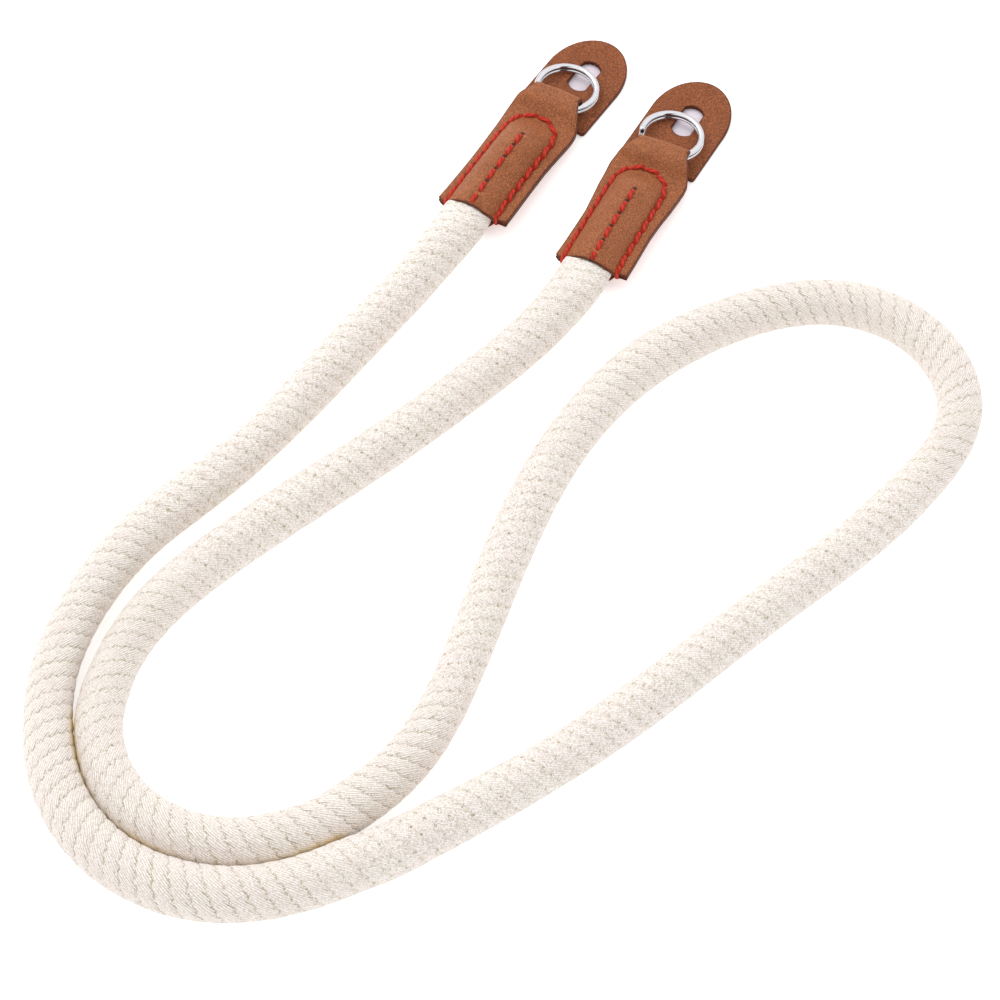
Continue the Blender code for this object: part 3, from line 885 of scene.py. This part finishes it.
# How much further the mouth reaches down the rope, from its left to its right corner.
MOUTH_EDGE = [(-8.8, 1.1), (-7.6, 1.9), (-6.5, 2.2), (-4.5, 2.1), (0.0, 1.9), (4.0, 1.7),
              (5.6, 0.9), (6.6, 0.2), (8.8, 0.0)]
MOUTH_REACH = 6.0  # how far in from the mouth this stretches the strip
ROW_STEP = 0.36
BEFORE_SEAM = np.array([0.2, 0.45, 0.7])  # columns of the mesh from the edge to a seam
CORE_COLUMNS, CORE_SPREAD = 33, 0.92  # those between the seams, closer beside them
PAST_SEAM, CORE_MOST = 0.3, 0.8  # how far past a seam they reach, and the most of the width

SEAM_HALF = {"left": 6.1, "right": 6.4}  # from the middle to the two long rows of stitches
SEAM_TOP = {"left": 25.3, "right": 24.4}  # from the mouth to where they close over the rope
SEAM_HOLES = 19
SEAM_FROM, SEAM_SPARE = -0.7, 1.3  # the seam's first hole, and the run left after its last
# The row of holes down the middle: where it starts and ends.
CENTRE_ROW = {"left": ((-0.06, 22.5), (0.37, 1.7)), "right": ((0.6, 21.4), (0.6, 0.6))}
CENTRE_HOLES = 6
TRACK_DEEP, TRACK_WIDE = 0.12, 0.6  # the groove that the thread pulls into the leather
TRACK_FROM, TRACK_STEP, TRACK_R = -2.0, 0.25, 6.5  # its points, and the seam they allow for
HOLE_DEEP, HOLE_WIDE = 0.22, 0.5
SEAM_HOLE_SMALL = 0.12  # how much smaller the holes of the seam are than the middle ones
HOLE_SEEN = 3.0  # distance from a hole beyond which the material asks no further

END_TAN = ((0.36, 0.12, 0.044), (0.305, 0.097, 0.034))
# Painted shade inside the stitch holes.
HOLE_SHADE = (0.03, 0.006, 0.004)

ACROSS = np.linspace(-12, 12, 961)
BULGE = softened(np.clip(1 - (ACROSS / BULGE_HALF) ** 2, 0, None) ** BULGE_POWER, 35)
BULGE_SLOPE = np.gradient(BULGE, ACROSS)


def seam_line(side, run):
    """A place on the seam, up one side of the rope, over its end and down the other."""
    half, top = SEAM_HALF[side], SEAM_TOP[side]
    over = np.clip((run - top) / half, 0, math.pi)
    down = np.clip(run - top - math.pi * half, 0, None)
    return np.stack([-half * np.cos(over),
                     np.minimum(run, top) + half * np.sin(over) - down], axis=-1)


def stitch_holes(side):
    """The holes of the seam round the rope, and those of the row down the middle."""
    long = 2 * SEAM_TOP[side] + math.pi * SEAM_HALF[side]
    (top_x, top_y), (low_x, low_y) = CENTRE_ROW[side]
    row = np.column_stack([np.linspace(top_x, low_x, CENTRE_HOLES),
                           np.linspace(top_y, low_y, CENTRE_HOLES)])
    return seam_line(side, np.linspace(SEAM_FROM, long - SEAM_SPARE, SEAM_HOLES)), row


def strip_rows(side):
    """Rows of the mesh from the mouth to the bend: where each is, and the strip there."""
    y = np.concatenate([EDGE_IN[:-1], np.arange(EDGE_IN[-1], STRIP_LONG, ROW_STEP),
                        [STRIP_LONG]])
    fine = np.arange(0, STRIP_LONG + 0.01, 0.1)
    left, right, seam_z, rise, drop, lift = (
        np.interp(y, fine, softened(column, STRIP_EVEN)) for column in table(STRIP, fine))
    flare = FLARE[side]
    left += flare * np.interp(y, [*FLARE_AT, FLARE_GONE], [0, 1, 1, 0])
    to_bend = BEND_HALF[side][1] - right[-1] + FOLD_SPARE
    right += np.interp(y, [*FLARE_AT, STRIP_LONG], [0, flare, flare, to_bend])
    return y, left, right, seam_z, rise, drop, lift


def columns(side, left, right):
    """Places across the strip, closer together at its edges and at the seams."""
    lip = np.array(EDGE_IN)
    core = (np.sin(np.linspace(-0.5, 0.5, CORE_COLUMNS) * math.pi * CORE_SPREAD)
            / math.sin(CORE_SPREAD / 2 * math.pi))
    inner_left, inner_right = (min(SEAM_HALF[side] + PAST_SEAM, edge * CORE_MOST)
                               for edge in (left, right))
    bare_left, bare_right = left - lip[-1] - inner_left, right - lip[-1] - inner_right
    return np.concatenate([
        -left + lip, -(inner_left + bare_left * (1 - BEFORE_SEAM)),
        np.where(core < 0, core * inner_left, core * inner_right),
        inner_right + bare_right * BEFORE_SEAM, right - lip[::-1]])


def pressed_in(side):
    """What gives, for spots in a row across the strip, how deep the thread presses them in
    and how far the nearest stitch hole is."""
    seam_holes, centre_holes = stitch_holes(side)
    holes = np.vstack([seam_holes, centre_holes])
    smaller = np.repeat([SEAM_HOLE_SMALL, 0.0], [len(seam_holes), len(centre_holes)])
    track_end = 2 * SEAM_TOP[side] + math.pi * TRACK_R
    track = seam_line(side, np.arange(TRACK_FROM, track_end, TRACK_STEP))

    def at(x, y):
        spot = np.column_stack([x, np.full_like(x, y)])
        to_seam = np.linalg.norm(spot[:, None] - track, axis=2).min(axis=1)
        to_row = np.where(y < centre_holes[0, 1],
                          np.abs(x - centre_holes[:, 0].mean()), np.inf)
        to_hole = (np.linalg.norm(spot[:, None] - holes, axis=2) + smaller).min(axis=1)
        groove = TRACK_DEEP * np.exp(-(np.minimum(to_seam, to_row) / TRACK_WIDE) ** 2)
        return groove + HOLE_DEEP * np.exp(-(to_hole / HOLE_WIDE) ** 2), to_hole
    return at


def closed_rows(x, y, z, way_y, way_z, out, under):
    """Rows of points right round a layer: its outer face one way, its inner one back."""
    faces = [np.stack([x, y + way_y * face, z + way_z * face], axis=-1)
             for face in (out, under)]
    return np.concatenate([faces[0], faces[1][:, ::-1]], axis=1)


def strip_layer(side, layer):
    """The upper or the lower layer, from the mouth to the bend, and how near each of its
    points is to the strip's edge and to a hole. The lower one is worked out upside down."""
    ys, left, right, seam_z, rise, drop, lift = strip_rows(side)
    pressed = pressed_in(side)
    xs, out, under, near = [], [], [], []
    for i, y in enumerate(ys):
        x = columns(side, left[i], right[i])
        depth = np.minimum(np.minimum(x + left[i], right[i] - x), y)
        shape = np.interp(x, ACROSS, BULGE)
        steep = np.abs(np.interp(x, ACROSS, BULGE_SLOPE))
        if layer == "upper":
            top = seam_z[i] + LAYER_GAP + LEATHER + lift[i] + rise[i] * shape
            slope = rise[i] * steep
        else:
            top = -(seam_z[i] - LAYER_GAP - LEATHER - drop[i] * shape)
            slope = drop[i] * steep
        wall = LEATHER * np.minimum(np.sqrt(1 + slope**2), STEEPEST) + PAD
        skived = THIN_EDGE[layer] * falling(depth, SKIVED_WIDE) ** 2
        thin_mouth = MOUTH_THIN * falling(y, MOUTH_LONG) ** 2
        groove, to_hole = pressed(x, y)
        xs.append(x)
        out.append(top - groove - edge_fall(depth) - skived)
        under.append(top - wall + ROUND_UNDER * edge_fall(depth) + thin_mouth)
        near.append([depth, np.minimum(to_hole, HOLE_SEEN)])
    xs = np.array(xs)
    rows = closed_rows(xs, ys[:, None] + 0 * xs, 0.0, 0.0, 1.0 if layer == "upper" else -1.0,
                       np.array(out), np.array(under))
    return rows, np.array(near)


def strip_bend(side):
    """The fold round the ring's wire, and how near its points are to an edge and a hole."""
    y, _, _, seam_z, *_ = strip_rows(side)
    left, right = BEND_HALF[side]
    turn = np.radians(np.linspace(90, -90, BEND_STEPS + 2))[1:-1, None]
    xs = np.tile(columns(side, left, right), (BEND_STEPS, 1))
    depth = np.minimum(xs + left, right - xs)
    rows = closed_rows(xs, y[-1], seam_z[-1] - LAYER_GAP + BEND_R, np.cos(turn), np.sin(turn),
                       BEND_R + LEATHER - edge_fall(depth), BEND_R + edge_fall(depth))
    return rows, np.stack([depth, np.full_like(depth, HOLE_SEEN)], axis=1)


def make_leather_end(side):
    """The folded strip as one skin: its upper layer, the fold and its lower layer."""
    upper, near_upper = strip_layer(side, "upper")
    bend, near_bend = strip_bend(side)
    lower, near_lower = strip_layer(side, "lower")
    rows = np.concatenate([upper, bend, lower[::-1]])
    near = np.concatenate([near_upper, near_bend, near_lower[::-1]])
    near = np.concatenate([near, near[:, :, ::-1]], axis=2)
    # The strip is cut and folded a little out of true.
    x, y = rows[..., 0].copy(), rows[..., 1].copy()
    rows[..., 1] -= SHORT[side] * rising(y, *SHORT_AT)
    rows[..., 1] -= FOLD_SLOPE * rising(-x, 0, SLOPE_HALF) * rising(y, *SLOPE_AT)
    rows[..., 1] -= table(MOUTH_EDGE, x)[0] * falling(y, MOUTH_REACH)
    return joined_mesh("leather_end_" + side, [skin(rows)], edge=near[:, 0], hole=near[:, 1])


def end_tan(shade):
    """The same leather, lighter, with painted shade where the thread goes into its holes."""
    parts = leather(shade, *END_TAN)
    hole_shade = 1 - shade.attribute("hole").between(0.3, 0.85)
    return {**parts, "Base Color": shade.mix(hole_shade * 0.92, parts["Base Color"], HOLE_SHADE)}


end_leather = finish("end_tan", {"Specular IOR Level": 0.22}, end_tan)
leather_skin = {}
for side in SIDES:
    mesh = make_leather_end(side)
    drawn = np.empty(len(mesh.vertices) * 3)
    mesh.vertices.foreach_get("co", drawn)
    drawn = drawn.reshape(-1, 3) / MM
    leather_skin[side] = BVHTree.FromPolygons(
        drawn.tolist(), [tuple(face.vertices) for face in mesh.polygons])
    mesh.vertices.foreach_set("co", (seated(drawn, side) * MM).ravel())
    mesh.update()
    new_piece("end_strip_" + side, mesh, end_leather, "end_leather", "leather_end_" + side)


# ================================================================ the stitches
# Waxed red thread, two plies, saddle-stitched by hand: a row beside the rope on either
# side that closes over its end, a row down the middle through the rope, and the ends of
# the thread taken over the leather's mouth and back.

THREAD_HALF = (0.56, 0.38)  # flattened by the pull
THREAD_LAY = 3.4  # length in which the two plies go once round each other
THREAD_SIDES = 14
PLY_DEEP = 0.1  # depth between the plies, as a share of the thread
STITCH_STEPS = 21
STITCH_HIGH, STITCH_DIVE = 0.3, 0.95  # how proud its middle is, and how far its ends dive
# Of the seam and of the middle row: half the sideways step of a stitch, and the share of
# its length by which it falls short of each hole.
SEAM_STITCH, CENTRE_STITCH = (0.26, 0.04), (0.1, 0.13)
LAST_CENTRE = -1.5  # where the middle row's last stitch ends, past the mouth
LOOK_BESIDE = 0.4  # a stitch lies on the leather under it and so far to one side
HEIGHT_EVEN = 5  # steps over which its height is evened out
LOWEST = 0.02  # no stitch lies nearer to the table
WRAP_STEPS = 41
WRAP_START = 1.2  # where the thread starts over the mouth, in from it
WRAP_SHIFT = {"left": -2.0, "right": 0.0}  # where the mouth is, beside each row of stitches
NO_LEATHER = 4.0  # height of a spot with no leather over or under it
# The thread's darker red between its plies is painted shade.
RED_PLY_SHADE, RED_TOP, RED_FUZZ = (0.30, 0.012, 0.007), (0.57, 0.037, 0.017), (0.40, 0.02, 0.01)


def thread(points, sideways):
    """A length of two-ply thread, with 0 between its plies and 1 on top of one."""
    ahead = np.gradient(points, axis=0)
    ahead /= np.linalg.norm(ahead, axis=1)[:, None]
    up = np.cross(sideways, ahead)
    up /= np.linalg.norm(up, axis=1)[:, None]
    turn = np.linspace(0, math.tau, THREAD_SIDES, endpoint=False)
    twist = distance_along(points)[:, None] * math.tau / THREAD_LAY
    ply = 0.5 + 0.5 * np.cos(2 * (turn[None] - twist))
    reach = (1 - PLY_DEEP + PLY_DEEP * np.sqrt(ply))[..., None]
    rows = (points[:, None] + reach * (
        THREAD_HALF[0] * np.cos(turn)[None, :, None] * np.array(sideways)
        + THREAD_HALF[1] * np.sin(turn)[None, :, None] * up[:, None]))
    return rows, ply


def face_height(side, x, y, below):
    """The height of the leather's upper or lower face at a spot."""
    start, way = ((x, y, -20.0), (0, 0, 1)) if below else ((x, y, 40.0), (0, 0, -1))
    hit = leather_skin[side].ray_cast(Vector(start), Vector(way))[0]
    return hit.z if hit else NO_LEATHER


def stitch(side, here, there, lean, short, below):
    """One stitch from hole to hole, on top of the leather or below it."""
    out = -1.0 if below else 1.0
    ahead = (there - here) / np.linalg.norm(there - here)
    across = np.array([-ahead[1], ahead[0]])
    share = np.linspace(0, 1, STITCH_STEPS)
    flat = (here + (there - here) * (short + (1 - 2 * short) * share[:, None])
            + across * (share[:, None] * 2 - 1) * lean * out)
    height = [(face_height(side, *spot, below)
               + face_height(side, *(spot - across * LOOK_BESIDE), below)) / 2
              for spot in flat]
    height = np.convolve(np.pad(height, HEIGHT_EVEN // 2, "edge"),
                         np.ones(HEIGHT_EVEN) / HEIGHT_EVEN, "valid")
    lift = STITCH_HIGH - STITCH_DIVE * np.abs(share * 2 - 1) ** 5
    rows, ply = thread(np.column_stack([flat, height + out * lift]), (*across, 0.0))
    rows[..., 2] = np.maximum(rows[..., 2], LOWEST)
    return rows, ply


def mouth_wrap(side, x, shift):
    """The end of the thread, taken from the first hole over the mouth and back below."""
    top, bottom = (face_height(side, x, WRAP_START + shift, below) for below in (False, True))
    # Corners of its way, from the mouth inwards and in height.
    corners = [(1.9, top - 0.5), (1.5, top + 0.2), (1.0, top + 0.34), (0.4, top + 0.3),
               (-0.05, top - 0.1), (-0.22, (top + bottom) / 2), (-0.05, bottom + 0.1),
               (0.4, bottom - 0.3), (1.0, bottom - 0.34), (1.5, bottom - 0.2),
               (1.9, bottom + 0.5)]
    places = np.linspace(0, len(corners) - 1, WRAP_STEPS)
    y, z = (np.interp(places, np.arange(len(corners)), column)
            for column in np.array(corners).T)
    return thread(np.column_stack([np.full(WRAP_STEPS, x), y + shift, z]), (1.0, 0.0, 0.0))


def make_stitches(side):
    """All the thread that shows on one leather end, above and below."""
    seam_holes, centre_holes = stitch_holes(side)
    centre_line = np.vstack([centre_holes, (centre_holes[-1][0], LAST_CENTRE)])
    threads = [stitch(side, here, there, *kind, below)
               for below in (False, True)
               for holes, kind in ((seam_holes, SEAM_STITCH), (centre_line, CENTRE_STITCH))
               for here, there in zip(holes, holes[1:])]
    threads += [mouth_wrap(side, seam_holes[end][0], WRAP_SHIFT[corner])
                for end, corner in ((0, "left"), (-1, "right"))]
    skins = [skin(rows) for rows, _ in threads]
    return joined_mesh("stitches_" + side,
                       [(seated(points, side), faces) for points, faces in skins],
                       ply=np.concatenate([ply.ravel() for _, ply in threads]))


def red_wax(shade):
    """Red waxed thread, with painted shade between its two plies."""
    ply = shade.attribute("ply")
    fuzz = shade.noise(shade.millimetres(), 4.0, 2.0)
    red = shade.mix(ply.between(0.0, 0.5), RED_PLY_SHADE, RED_TOP)
    return {"Base Color": shade.mix(fuzz * 0.4, red, RED_FUZZ),
            "Normal": bumps(shade, fuzz * 0.06)}


thread_red = finish("red_wax", {"Roughness": 0.6, "Specular IOR Level": 0.2}, red_wax)
for side in SIDES:
    new_piece("stitches_" + side, make_stitches(side), thread_red, "red_thread")
